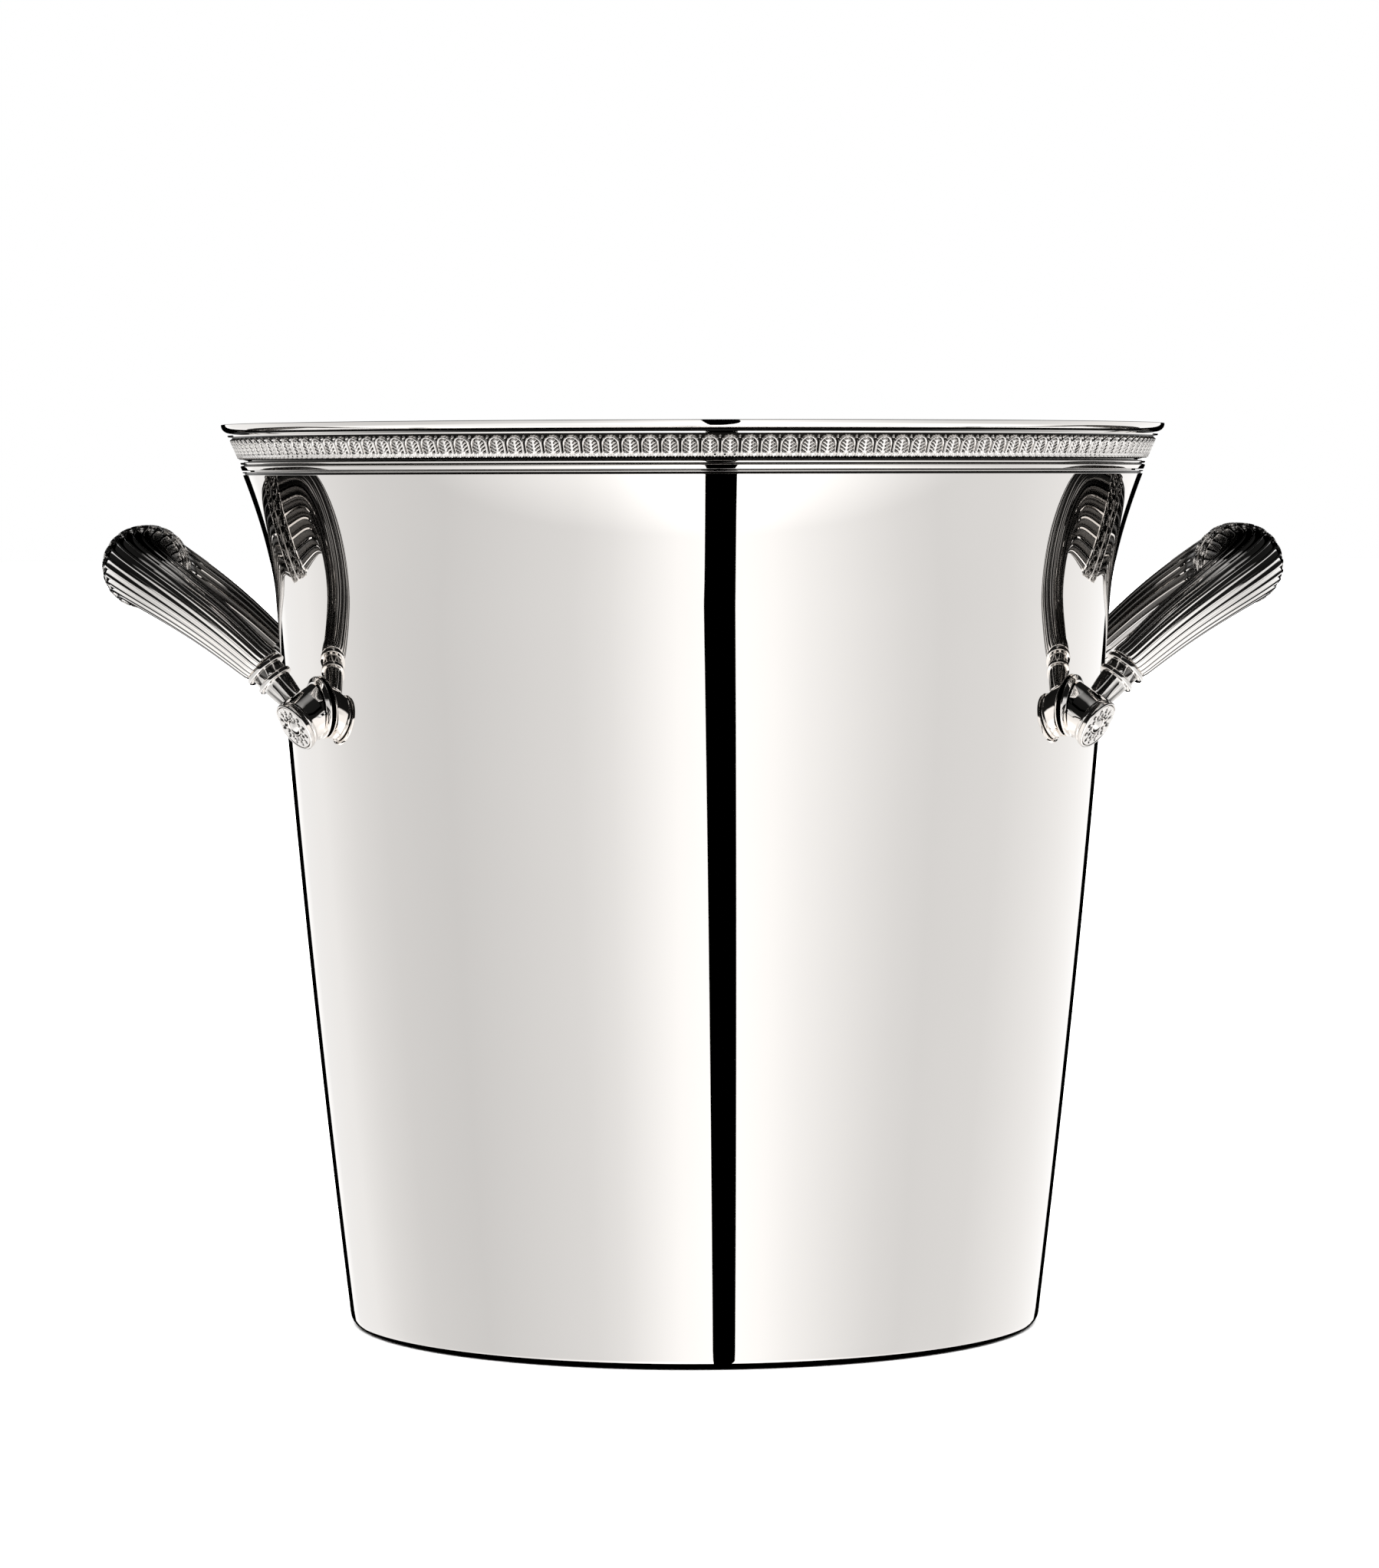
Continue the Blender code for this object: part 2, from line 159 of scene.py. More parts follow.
def seat_radius(z):
    """Outer radius of the wall behind the bead and the frieze."""
    return SEAT_RADIUS + SEAT_LEAN * (z - SEAT_BOTTOM)


def rounded(corners, steps=5):
    """An outline of (r, z) from corners of (r, z, fillet radius), the ends left as they are."""
    points = [np.array(c[:2]) for c in corners]
    outline = [points[0]]
    for i in range(1, len(corners) - 1):
        here, fillet = points[i], corners[i][2]
        back = points[i - 1] - here
        on = points[i + 1] - here
        reach_back, reach_on = np.linalg.norm(back), np.linalg.norm(on)
        back, on = back / reach_back, on / reach_on
        opening = math.acos(float(np.clip(back @ on, -1.0, 1.0)))
        if fillet <= 0.0 or opening > math.pi - 0.02:
            outline.append(here)
            continue
        reach = min(fillet / math.tan(opening / 2.0), 0.48 * reach_back, 0.48 * reach_on)
        fillet = reach * math.tan(opening / 2.0)
        middle = here + (back + on) / np.linalg.norm(back + on) * (fillet / math.sin(opening / 2.0))
        start = here + back * reach - middle
        sweep = math.pi - opening
        if start[0] * (here + on * reach - middle)[1] - start[1] * (here + on * reach - middle)[0] < 0.0:
            sweep = -sweep
        for k in range(steps + 1):
            a = sweep * k / steps
            turn = np.array([[math.cos(a), -math.sin(a)], [math.sin(a), math.cos(a)]])
            outline.append(middle + turn @ start)
    outline.append(points[-1])
    return [tuple(p) for p in outline]


def axis_frame(point, axis, along=Vector((0.0, 0.0, 1.0))):
    """A matrix at point whose Z runs along axis, with its X square to `along`."""
    z_axis = axis.normalized()
    x_axis = along.cross(z_axis).normalized()
    y_axis = z_axis.cross(x_axis)
    return Matrix.Translation(point) @ Matrix((x_axis, y_axis, z_axis)).transposed().to_4x4()


def placed(points, matrix):
    """The points moved from a frame's own axes into the part's."""
    m = np.array(matrix)
    return points @ m[:3, :3].T + m[:3, 3]


def circle(count):
    """Evenly spread angles round a full turn."""
    return np.arange(count) * (2.0 * math.pi / count)


def turned(profile, turns):
    """Rings of points from an (r, z) profile turned through the angles `turns`."""
    r, z = np.array(profile).T
    x = r[:, None] * np.cos(turns)
    y = r[:, None] * np.sin(turns)
    return np.stack([x, y, np.broadcast_to(z[:, None], x.shape)], axis=-1)


# ---------------------------------------------------------------- pieces


def piece(name, rings, nodes, material, joined=False, closed=True, painted_shade=None, sharp=50.0):
    """A closed solid skinned over rings of points, which is (rings, points, 3).

    Where `joined`, the last ring meets the first; otherwise both ends are capped. Where not
    `closed`, each ring is an open row, and the piece must be joined: its open sides are capped.
    """
    rings = np.asarray(rings, float)
    count, across = rings.shape[:2]
    index = np.arange(count * across).reshape(count, across)
    rows = index if joined else index[:-1]
    next_rows = np.roll(index, -1, axis=0) if joined else index[1:]
    if closed:
        quads = np.stack([rows, np.roll(rows, -1, 1), np.roll(next_rows, -1, 1), next_rows], -1)
    else:
        quads = np.stack([rows[:, :-1], rows[:, 1:], next_rows[:, 1:], next_rows[:, :-1]], -1)
    faces = quads.reshape(-1, 4).tolist()
    points = list(rings.reshape(-1, 3))
    # Each point's painted shade, from 0 to 1, goes to the silver as a point attribute.
    shades = np.zeros(len(points)) if painted_shade is None else np.asarray(painted_shade, float).reshape(-1)
    if closed and not joined:
        for ring, flip in ((index[0], True), (index[-1], False)):
            hub = len(points)
            points.append(np.mean([points[i] for i in ring], axis=0))
            shades = np.append(shades, shades[ring].mean())
            for a, b in zip(ring, np.roll(ring, -1)):
                faces.append([int(b), int(a), hub] if flip else [int(a), int(b), hub])
    if not closed:
        faces.append([int(i) for i in index[::-1, 0]])
        faces.append([int(i) for i in index[:, -1]])
    points = np.array(points)
    if signed_volume(points, faces) < 0.0:
        faces = [f[::-1] for f in faces]
    mesh = bpy.data.meshes.new(name)
    mesh.from_pydata(points.tolist(), [], faces)
    mesh.shade_smooth()
    mesh.set_sharp_from_angle(angle=math.radians(sharp))
    mesh.attributes.new("painted_shade", "FLOAT", "POINT").data.foreach_set("value", shades.astype(np.float32))
    mesh.materials.append(material)
    obj = bpy.data.objects.new(name, mesh)
    bpy.context.scene.collection.objects.link(obj)
    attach(obj, BODY)
    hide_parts(*nodes)
    return obj


def signed_volume(points, faces):
    """About six times the enclosed volume, which is positive where the faces point outwards."""
    total = 0.0
    quads = np.array([f for f in faces if len(f) == 4])
    for a, b, c in ((0, 1, 2), (0, 2, 3)):
        p, q, r = points[quads[:, a]], points[quads[:, b]], points[quads[:, c]]
        total += float(np.einsum("ij,ij->", p, np.cross(q, r)))
    return total


# ---------------------------------------------------------------- silver

SILVER = (0.965, 0.935, 0.905)
# Painted shade: the dark colour and roughness that recesses, creases and wall-facing flutes are painted
# with.
PAINTED_SHADE_COLOUR = (0.012, 0.011, 0.010)
PAINTED_SHADE_ROUGHNESS = 0.30
HAZE_SCALE = 26.0
GRAIN_SCALE = 1400.0
GRAIN_HEIGHT = 0.00002


def silver(name, roughness, grain):
    """Silver with painted shade in its recesses, read from a point attribute of the piece, and a fine
    polishing haze.
    """
    material = bpy.data.materials.new(name)
    material.use_nodes = True
    nodes, links = material.node_tree.nodes, material.node_tree.links
    shader = nodes["Principled BSDF"]
    shader.inputs["Metallic"].default_value = 1.0
    place = nodes.new("ShaderNodeTexCoord")
    shade = nodes.new("ShaderNodeAttribute")
    shade.attribute_name = "painted_shade"

    def noise(scale, detail):
        texture = nodes.new("ShaderNodeTexNoise")
        texture.inputs["Scale"].default_value = scale
        texture.inputs["Detail"].default_value = detail
        links.new(place.outputs["Object"], texture.inputs["Vector"])
        return texture.outputs["Fac"]

    haze = noise(HAZE_SCALE, 4.0)
    fine = noise(GRAIN_SCALE, 3.0)

    tint = nodes.new("ShaderNodeMix")
    tint.data_type = "RGBA"
    tint.inputs["A"].default_value = (*SILVER, 1.0)
    tint.inputs["B"].default_value = (*(c * 0.975 for c in SILVER), 1.0)
    links.new(haze, tint.inputs["Factor"])
    # Painted shade: the colour is mixed towards the dark shade colour by the point attribute.
    darken = nodes.new("ShaderNodeMix")
    darken.data_type = "RGBA"
    darken.inputs["B"].default_value = (*PAINTED_SHADE_COLOUR, 1.0)
    links.new(shade.outputs["Fac"], darken.inputs["Factor"])
    links.new(tint.outputs["Result"], darken.inputs["A"])
    links.new(darken.outputs["Result"], shader.inputs["Base Color"])

    polish = nodes.new("ShaderNodeMapRange")
    polish.inputs["To Min"].default_value = roughness * 0.7
    polish.inputs["To Max"].default_value = roughness * 1.3
    links.new(haze, polish.inputs["Value"])
    rough = nodes.new("ShaderNodeMix")
    rough.inputs["B"].default_value = PAINTED_SHADE_ROUGHNESS
    links.new(shade.outputs["Fac"], rough.inputs["Factor"])
    links.new(polish.outputs["Result"], rough.inputs["A"])
    links.new(rough.outputs["Result"], shader.inputs["Roughness"])

    bump = nodes.new("ShaderNodeBump")
    bump.inputs["Strength"].default_value = grain
    bump.inputs["Distance"].default_value = GRAIN_HEIGHT
    links.new(fine, bump.inputs["Height"])
    links.new(bump.outputs["Normal"], shader.inputs["Normal"])
    return material


def materials():
    """The four finishes, from the mirror wall to the ornament with painted shade in its recesses."""
    return {
        "mirror": silver("mirror_silver", 0.012, grain=0.0),
        "moulding": silver("moulding_silver", 0.025, grain=0.02),
        "cast": silver("cast_silver", 0.03, grain=0.04),
        "ornament": silver("oxidised_silver", 0.05, grain=0.05),
    }


# ---------------------------------------------------------------- bucket and rim

BUCKET_TURNS = 360
LINING_TOP = 0.1825
GROOVE_DEPTH = 0.00045
GROOVE_HEIGHT = 0.0002
EDGE_FILLET = 0.0001


def turned_piece(name, profile, shade, node, material, joined=True, sharp=50.0):
    """A piece of polished silver turned from a profile, with a painted shade value for each of its points.
    """
    rings = turned(profile, circle(BUCKET_TURNS))
    painted_shade = np.repeat(shade[:, None], BUCKET_TURNS, axis=1)
    piece(name, rings, [node], material, joined=joined, painted_shade=painted_shade, sharp=sharp)


def bucket_shell(looks):
    """The wall and floor in one, with a fine groove round the top of the wall that carries painted shade.
    """
    floor = BASE_RECESS + WALL_THICKNESS
    inner_corner = 2.0 * CORNER_RADIUS
    foot_outer = wall_radius(0.0)
    foot_inner = wall_radius(CORNER_RADIUS) - CORNER_RADIUS - FOOT_WIDTH
    inner_low = wall_radius(floor) - WALL_THICKNESS
    top_radius = wall_radius(FLARE_TOP)
    body_top = FLARE_TOP - GROOVE_HEIGHT
    body_radius = wall_radius(body_top)
    wall = [(wall_radius(z), z, 0.0)
            for z in spread(CORNER_RADIUS * 1.5, body_top - EDGE_FILLET, 100)]
    lining = [(wall_radius(z) - WALL_THICKNESS, z, 0.0)
              for z in spread(floor + inner_corner * 1.3, LINING_TOP, 40)]
    corners = [(HUB, floor, 0.0), (inner_low, floor, inner_corner)] + lining
    corners += [
        (SEAT_RADIUS - WALL_THICKNESS, SEAT_BOTTOM, 0.002),
        (seat_radius(SEAT_TOP) - WALL_THICKNESS, SEAT_TOP, 2.0 * EDGE_FILLET),
        (seat_radius(SEAT_TOP), SEAT_TOP, 2.0 * EDGE_FILLET),
        (SEAT_RADIUS, SEAT_BOTTOM, EDGE_FILLET),
        (top_radius, SEAT_BOTTOM, EDGE_FILLET),
        (top_radius, FLARE_TOP + 0.00027, EDGE_FILLET),
        (top_radius - GROOVE_DEPTH, FLARE_TOP + 0.00023, EDGE_FILLET / 2.0),
        (body_radius - GROOVE_DEPTH, body_top + 0.00005, EDGE_FILLET / 2.0),
        (body_radius, body_top, 0.00008),
    ]
    corners += wall[::-1]
    corners += [
        (foot_outer, 0.0, CORNER_RADIUS),
        (foot_inner, 0.0, 0.0005),
        (foot_inner - 2.0 * BASE_RECESS, BASE_RECESS, 0.001),
        (HUB, BASE_RECESS, 0.0),
    ]
    profile = np.array(rounded(corners, 6))
    r, z = profile.T
    # Painted shade: the groove under the top fillet is painted dark, darker deeper in.
    in_groove = (z > body_top - 0.00002) & (r > SEAT_RADIUS + 0.0002)
    shade = np.where(in_groove, smooth(top_radius - r, 0.00030, 0.00024), 0.0)
    turned_piece("bucket_shell_smooth", profile, shade, "bucket_shell", looks["mirror"],
                 joined=False, sharp=40.0)


# The bead's section, up from its lower edge and in from its outer radius.
BEAD_GROOVE_DEPTH = 0.0008
WIRE_LEAN = 0.00042
WIRE_TOP = 0.00095
FILLET_LEAN = 0.00018
FILLET_BOTTOM = 0.00134
FILLET_TOP = 0.00172


def rim_bead(looks):
    """A broad wire with a thin fillet above it, both leaning out over grooves that carry painted shade."""
    low, high, radius = BEAD_LOW.z, BEAD_HIGH.z, BEAD_HIGH.y
    inner = seat_radius(high) + GAP
    deep = radius - BEAD_GROOVE_DEPTH
    corners = [
        (inner, low, 0.0), (deep, low, 0.0),
        (radius - WIRE_LEAN, low + 0.00002, EDGE_FILLET), (radius, low + WIRE_TOP, 2.0 * EDGE_FILLET),
        (deep, low + 0.00115, 0.0), (deep, low + 0.00130, 0.0),
        (radius - FILLET_LEAN, low + FILLET_BOTTOM, EDGE_FILLET), (radius, low + FILLET_TOP, EDGE_FILLET),
        (deep, low + 0.00178, 0.0), (deep, high, 0.0), (inner, high, 0.0),
    ]
    profile = np.array(rounded(corners, 6))
    # Painted shade: the grooves behind the wire and the fillet are painted dark.
    shade = smooth(radius - profile[:, 0], 0.00060, 0.00020)
    turned_piece("rim_bead_smooth", profile, shade, "rim_bead", looks["moulding"])


def rim_lip(looks):
    """The everted lip: a round face that swells out to a thin edge, over a groove that carries painted
    shade.
    """
    low, top, radius = LIP_LOW.z, LIP_HIGH.z, LIP_HIGH.y
    foot = low + 0.0001
    deep = LIP_NECK_RADIUS - 0.0003
    face_top = top - 0.0002
    reach = radius - LIP_NECK_RADIUS
    corners = [(LIP_INNER_RADIUS, low, 0.0), (LIP_INNER_RADIUS, top, 0.0004), (radius, top, 0.00012)]
    for turn in spread(0.0, math.pi / 2.0, 16):
        z = face_top - (face_top - foot) * math.sin(turn)
        corners.append((LIP_NECK_RADIUS + reach * math.cos(turn), z, 0.0))
    corners += [(deep, foot - 0.00005, 0.0), (deep, low, 0.0)]
    profile = np.array(rounded(corners, 6))
    # Painted shade: the groove under the lip is painted dark.
    outside = (profile[:, 1] < foot + 0.00005) & (profile[:, 0] > LIP_INNER_RADIUS + 0.0005)
    shade = np.where(outside, smooth(LIP_NECK_RADIUS - profile[:, 0], 0.00012, 0.0001), 0.0)
    turned_piece("rim_lip_smooth", profile, shade, "rim_lip", looks["moulding"])


# The frieze's pattern, in millimetres up the strip.
LEAF_SIDE_GAP = 0.24
LEAF_FOOT = 1.15
LEAF_SHOULDER = 3.15
LEAF_CROWN = 1.75
BARB_SLOPE = 0.70
BARB_PITCH = 0.80
BUD_HEIGHT = 4.55
APRON_FOOT = 0.42
BEAD_LINE = 0.20
TOP_FILLET = 0.42
HATCHES_PER_LEAF = 8
BEADS_PER_LEAF = 6


def frieze_relief(u, v, pitch, rise):
    """Relief of one palmette, its half buds and the fillets, from 0 (ground) to 1 (face).

    In millimetres: u runs across from the leaf's middle, and v up from the strip's lower edge.
    """
    across = np.abs(u)
    aside = pitch / 2.0 - across
    leaf_half = pitch / 2.0 - LEAF_SIDE_GAP
    top_inside = (1.0 - np.hypot(across / leaf_half, (v - LEAF_SHOULDER) / LEAF_CROWN)) * 1.6
    inside = np.where(v > LEAF_SHOULDER, top_inside, leaf_half - across)
    inside = np.where(v < LEAF_FOOT, -1.0, inside)
    field = 0.92 * smooth(inside, 0.0, 0.12)
    barb = (v - BARB_SLOPE * across) / BARB_PITCH
    notch = smooth(np.cos(2.0 * math.pi * barb), 0.30, 0.7)
    notch = notch * smooth(inside, 0.42, 0.16) * smooth(across, 0.30, 0.12)
    groove = round_ridge(inside - 0.44, 0.10)
    rib_top = LEAF_SHOULDER + LEAF_CROWN - 0.5
    rib = 0.95 * round_ridge(across, 0.20) * smooth(-v, -rib_top, 0.2)
    leaf = np.maximum(field * (1.0 - 0.9 * np.maximum(notch, groove)), rib * (inside > 0.0))
    leaf = np.maximum(leaf, 1.0 * round_ridge(inside - 0.17, 0.24))

    bud = 0.9 * round_ridge(np.hypot(aside, (v - BUD_HEIGHT) / 1.5), 0.26)
    level = np.maximum(leaf, bud)

    hatch_pitch = pitch / HATCHES_PER_LEAF
    hatch = np.abs(np.mod(u, hatch_pitch) - hatch_pitch / 2.0) / hatch_pitch
    apron = 0.95 - 0.40 * smooth(hatch, 0.40, 0.12) * smooth(v, 0.55, 0.3)
    level = np.where((v < LEAF_FOOT) & (v > APRON_FOOT), apron, level)

    bead_pitch = pitch / BEADS_PER_LEAF
    step = np.mod(u + pitch / 2.0, bead_pitch) - bead_pitch / 2.0
    bead = 0.7 * round_ridge(np.hypot(step, v - BEAD_LINE), 0.20)
    level = np.maximum(level, bead)
    fillet = 1.0 * smooth(v, rise - TOP_FILLET, 0.1)
    return np.maximum(level, fillet)


def frieze_strips(looks):
    """The stamped palmette strip, in two halves that meet behind the handles."""
    low, high, top_radius = FRIEZE_LOW.z, FRIEZE_HIGH.z, FRIEZE_HIGH.y
    lean = math.atan2(top_radius - FRIEZE_LOW_RADIUS, high - low)
    rise = math.hypot(top_radius - FRIEZE_LOW_RADIUS, high - low)
    pitch_angle = 2.0 * math.pi / PALMETTES
    pitch = pitch_angle * (top_radius + FRIEZE_LOW_RADIUS) / 2.0 / MM
    columns, rows = 26, 38
    per_half = PALMETTES // 2
    heights = np.linspace(0.0, rise, rows)
    cells = np.linspace(-0.5, per_half - 0.5, per_half * columns + 1)
    u = (np.mod(cells + 0.5, 1.0) - 0.5) * pitch
    level = frieze_relief(u[None, :], heights[:, None] / MM, pitch, rise / MM)
    depth = FRIEZE_DEPTH * (1.0 - level)
    face_r = FRIEZE_LOW_RADIUS + heights[:, None] * math.sin(lean) - depth * math.cos(lean)
    face_z = low + heights[:, None] * math.cos(lean) + depth * math.sin(lean)
    back = [(seat_radius(high) + GAP, high), (seat_radius(low) + GAP, low)]
    # Painted shade: the frieze's sunk ground and grooves are painted dark.
    shade = smooth(-level, -0.34, 0.3)
    for name, start in (("front", math.pi), ("rear", 0.0)):
        turns = start + (cells + 0.5) * pitch_angle
        r = np.concatenate([face_r] + [np.full((1, len(turns)), b[0]) for b in back])
        z = np.concatenate([face_z] + [np.full((1, len(turns)), b[1]) for b in back])
        rings = np.stack([r * np.cos(turns), r * np.sin(turns), z], axis=-1)
        painted_shade = np.concatenate([shade, np.zeros((len(back), len(turns)))])
        piece(f"frieze_strip_{name}", rings, ["frieze_band"], looks["ornament"],
              joined=True, closed=False, painted_shade=painted_shade, sharp=75.0)


# ---------------------------------------------------------------- handles


def handle_point(side, end, rise, spread_y):
    """A point of the arched handle: rise runs up its plane from the boss line."""
    down = HANDLE_RISE - rise
    arch = HANDLE_ARCH * math.sin(math.pi * down / (HANDLE_RISE - COLLAR_RISE))
    x = CROWN_CENTRE.x - down * math.cos(HANDLE_TILT) - arch * math.sin(HANDLE_TILT)
    z = CROWN_CENTRE.z - down * math.sin(HANDLE_TILT) + arch * math.cos(HANDLE_TILT)
    return Vector((side * x, end * spread_y, z))


def arm_point(side, end, turn):
    """A point of the centre line, from turn 0 at the boss line to 90 degrees at the crown."""
    crown_edge = CROWN_HALF_WIDTH + GAP
    across, up = math.cos(turn), math.sin(turn)
    power = HANDLE_SQUARENESS
    stretch = (across ** power + up ** power) ** (-1.0 / power)
    reach = (HANDLE_HALF_SPREAD - crown_edge) * across * stretch
    return handle_point(side, end, HANDLE_RISE * up * stretch, crown_edge + reach)


def collar_turn():
    """The turn at which the arm's centre line reaches the collar's upper ring."""
    share = COLLAR_RISE / HANDLE_RISE
    power = HANDLE_SQUARENESS
    return math.atan2(share, (1.0 - share ** power) ** (1.0 / power))


def collar_frame(side, end):
    """Frame at the upper ring's centre, whose Z runs down the collar to the boss's axis."""
    point = arm_point(side, end, collar_turn())
    target = wall_contact(side, end)[0] + boss_axis(side, end) * COLLAR_AIM
    return axis_frame(point, target - point)


def boss_axis(side, end):
    """The way a boss points from the wall: outward, a little forward or back, and down."""
    flat = math.cos(BOSS_DIP)
    x, y = flat * math.cos(BOSS_TURN), flat * math.sin(BOSS_TURN)
    return Vector((side * x, end * y, -math.sin(BOSS_DIP)))


def wall_contact(side, end):
    """The point on the wall that a boss stands on, and the wall's outward normal there."""
    z = BOSS_HEIGHT_ON_WALL
    outward = Vector((side * math.cos(BOSS_AZIMUTH), end * math.sin(BOSS_AZIMUTH), 0.0))
    slope = WALL_SLOPE - 2.0 * WALL_CURVE * z
    normal = (outward - Vector((0.0, 0.0, slope))).normalized()
    return outward * wall_radius(z) + Vector((0.0, 0.0, z)), normal


# One flute of the arm's section: places across it, from 0 to 1, finer at its edges.
FLUTE_PLACES = np.array([0.0, 0.04, 0.07, 0.09, 0.11, 0.14, 0.18, 0.24, 0.32, 0.41,
                         0.50, 0.59, 0.68, 0.76, 0.82, 0.86, 0.89, 0.91, 0.93, 0.96])
FLUTE_EDGE = 0.09
FLUTE_SINK = 0.19
FILLET_ROUND = 0.03
FLUTE_CROWN_END = 0.0008
FLUTE_COLLAR_END = 0.0004
# Painted shade on the arms: dark lines in the creases at the flutes' sides, and dark flutes on the side
# facing the wall.
SIDE_DARK = 0.85
HIDDEN_DARK = 0.9
ARM_END_ROUND = 0.00025


def flute_depth(place, to_crown, to_collar, radius, hidden):
    """Depth of the section below its round, in metres, and how dark it is, across a flute.

    The darkness is painted shade: thin lines in the creases at the flutes' sides and,
    where hidden is 1, the flutes that face the wall.
    """
    width = 2.0 * math.pi * radius / FLUTES
    half = 0.5 - FLUTE_EDGE
    x = (place - 0.5) / half
    arch = half * width * (1.0 - np.sqrt(np.clip(1.0 - x * x, 0.0, 1.0)))
    open_crown = smooth(to_crown, FLUTE_CROWN_END + arch, 0.0004)
    open_collar = smooth(to_collar, FLUTE_COLLAR_END + arch, 0.0003)
    hollow = np.sqrt(np.clip(1.0 - x * x, 0.0, 1.0))
    scoop = FLUTE_SINK * width * hollow * open_crown * open_collar
    crown_of_fillet = FILLET_ROUND * width * (1.0 - round_ridge(np.minimum(place, 1.0 - place), FLUTE_EDGE))
    at_side = smooth(-np.abs(np.abs(x) - 0.93), -0.10, 0.08)
    at_middle = hidden * smooth(-np.abs(x), -0.85, 0.15)
    dark = np.maximum(SIDE_DARK * at_side, HIDDEN_DARK * at_middle) * open_crown * open_collar
    return scoop + np.where(np.abs(x) < 1.0, crown_of_fillet, 0.0), dark


# The arm leaves the collar straight, and its path joins the handle's curve after this distance.
ARM_LEAD = 0.0032
PATH_SAMPLES = 2001
PATH_SMOOTHING = 30


def arm_path(side, end):
    """Dense points of an arm's centre line, from the collar's ring up to the crown band."""
    turns = np.linspace(collar_turn(), math.pi / 2.0, 240)
    path = np.array([arm_point(side, end, t) for t in turns])
    collar_up = -np.array(collar_frame(side, end))[:3, 2]
    start = path[0] + collar_up * (RING_HALF_HEIGHT + GAP)
    lead = start + collar_up * ARM_LOW_RADIUS / 4.0
    clear = np.linalg.norm(path - path[0], axis=1) > ARM_LEAD
    path = np.concatenate([[start, lead], path[clear]])
    along = np.concatenate([[0.0], np.cumsum(np.linalg.norm(np.diff(path, axis=0), axis=1))])
    fine = np.linspace(0.0, along[-1], PATH_SAMPLES)
    dense = np.stack([np.interp(fine, along, path[:, k]) for k in range(3)], axis=-1)
    reach = PATH_SMOOTHING
    padded = np.pad(dense, ((reach, reach), (0, 0)), mode="reflect", reflect_type="odd")
    kernel = np.ones(2 * reach + 1) / (2 * reach + 1)
    dense = np.stack([np.convolve(padded[:, k], kernel, "valid") for k in range(3)], axis=-1)
    return fine, dense


def arm(side_name, end_name, looks):
    """A fluted arm that swells from the collar up to the crown band."""
    side, end = SIDES[side_name], ENDS[end_name]
    fine, dense = arm_path(side, end)
    length = fine[-1]
    tangents = np.gradient(dense, axis=0)
    # Rings along the arm stand closer together at the round ends of the flutes.
    places = np.concatenate([[0.0, 0.0001, 0.0002], np.linspace(0.0003, 0.0024, 10),
                             np.linspace(0.0030, length - 0.0036, 74),
                             np.linspace(length - 0.0034, length - 0.0003, 24),
                             [length - 0.0002, length - 0.0001, length]])
    spots = np.stack([np.interp(places, fine, dense[:, k]) for k in range(3)], axis=-1)
    tangents = np.stack([np.interp(places, fine, tangents[:, k]) for k in range(3)], axis=-1)
    tangents /= np.linalg.norm(tangents, axis=1)[:, None]
    x_axis = np.cross([0.0, 0.0, 1.0], tangents[0])
    angles = np.concatenate([(f + FLUTE_PLACES) for f in range(FLUTES)]) * (2.0 * math.pi / FLUTES)
    across = np.tile(FLUTE_PLACES, FLUTES)
    rings, shades = [], []
    for spot, tangent, travelled in zip(spots, tangents, places):
        x_axis = x_axis - tangent * (x_axis @ tangent)
        x_axis = x_axis / np.linalg.norm(x_axis)
        y_axis = np.cross(tangent, x_axis)
        radius = ARM_LOW_RADIUS + (ARM_HIGH_RADIUS - ARM_LOW_RADIUS) * travelled / length
        to_end = min(length - travelled, travelled)
        round_over = ARM_END_ROUND * (1.0 - smooth(to_end, 0.00012, 0.00024))
        # Painted shade: flutes that turn towards the bucket's axis count as hidden and are painted dark.
        inward = -np.array([spot[0], spot[1], 0.0]) / math.hypot(spot[0], spot[1])
        facing = np.cos(angles) * (x_axis @ inward) + np.sin(angles) * (y_axis @ inward)
        hidden = smooth(facing, 0.30, 0.5)
        depth, dark = flute_depth(across, length - travelled, travelled, radius, hidden)
        r = radius - depth - round_over
        rings.append(spot + np.outer(r * np.cos(angles), x_axis) + np.outer(r * np.sin(angles), y_axis))
        shades.append(dark)
    piece(f"{side_name}_{end_name}_arm_fluted", rings, [f"{side_name}_{end_name}_arm"],
          looks["cast"], painted_shade=shades, sharp=60.0)


# The crown band's pattern, in millimetres out from its middle.
RIDGE_PLACE = 0.44
LINE_PLACE = 1.08
RIDGES_EDGE = 1.3
CURL_PLACE = 2.55
CROWN_LEAF_FOOT = 3.9
CROWN_LEAF_TIP = 6.5
CROWN_LEAF_TIP_RISE = 1.85
CROWN_BUD_PLACE = 7.7


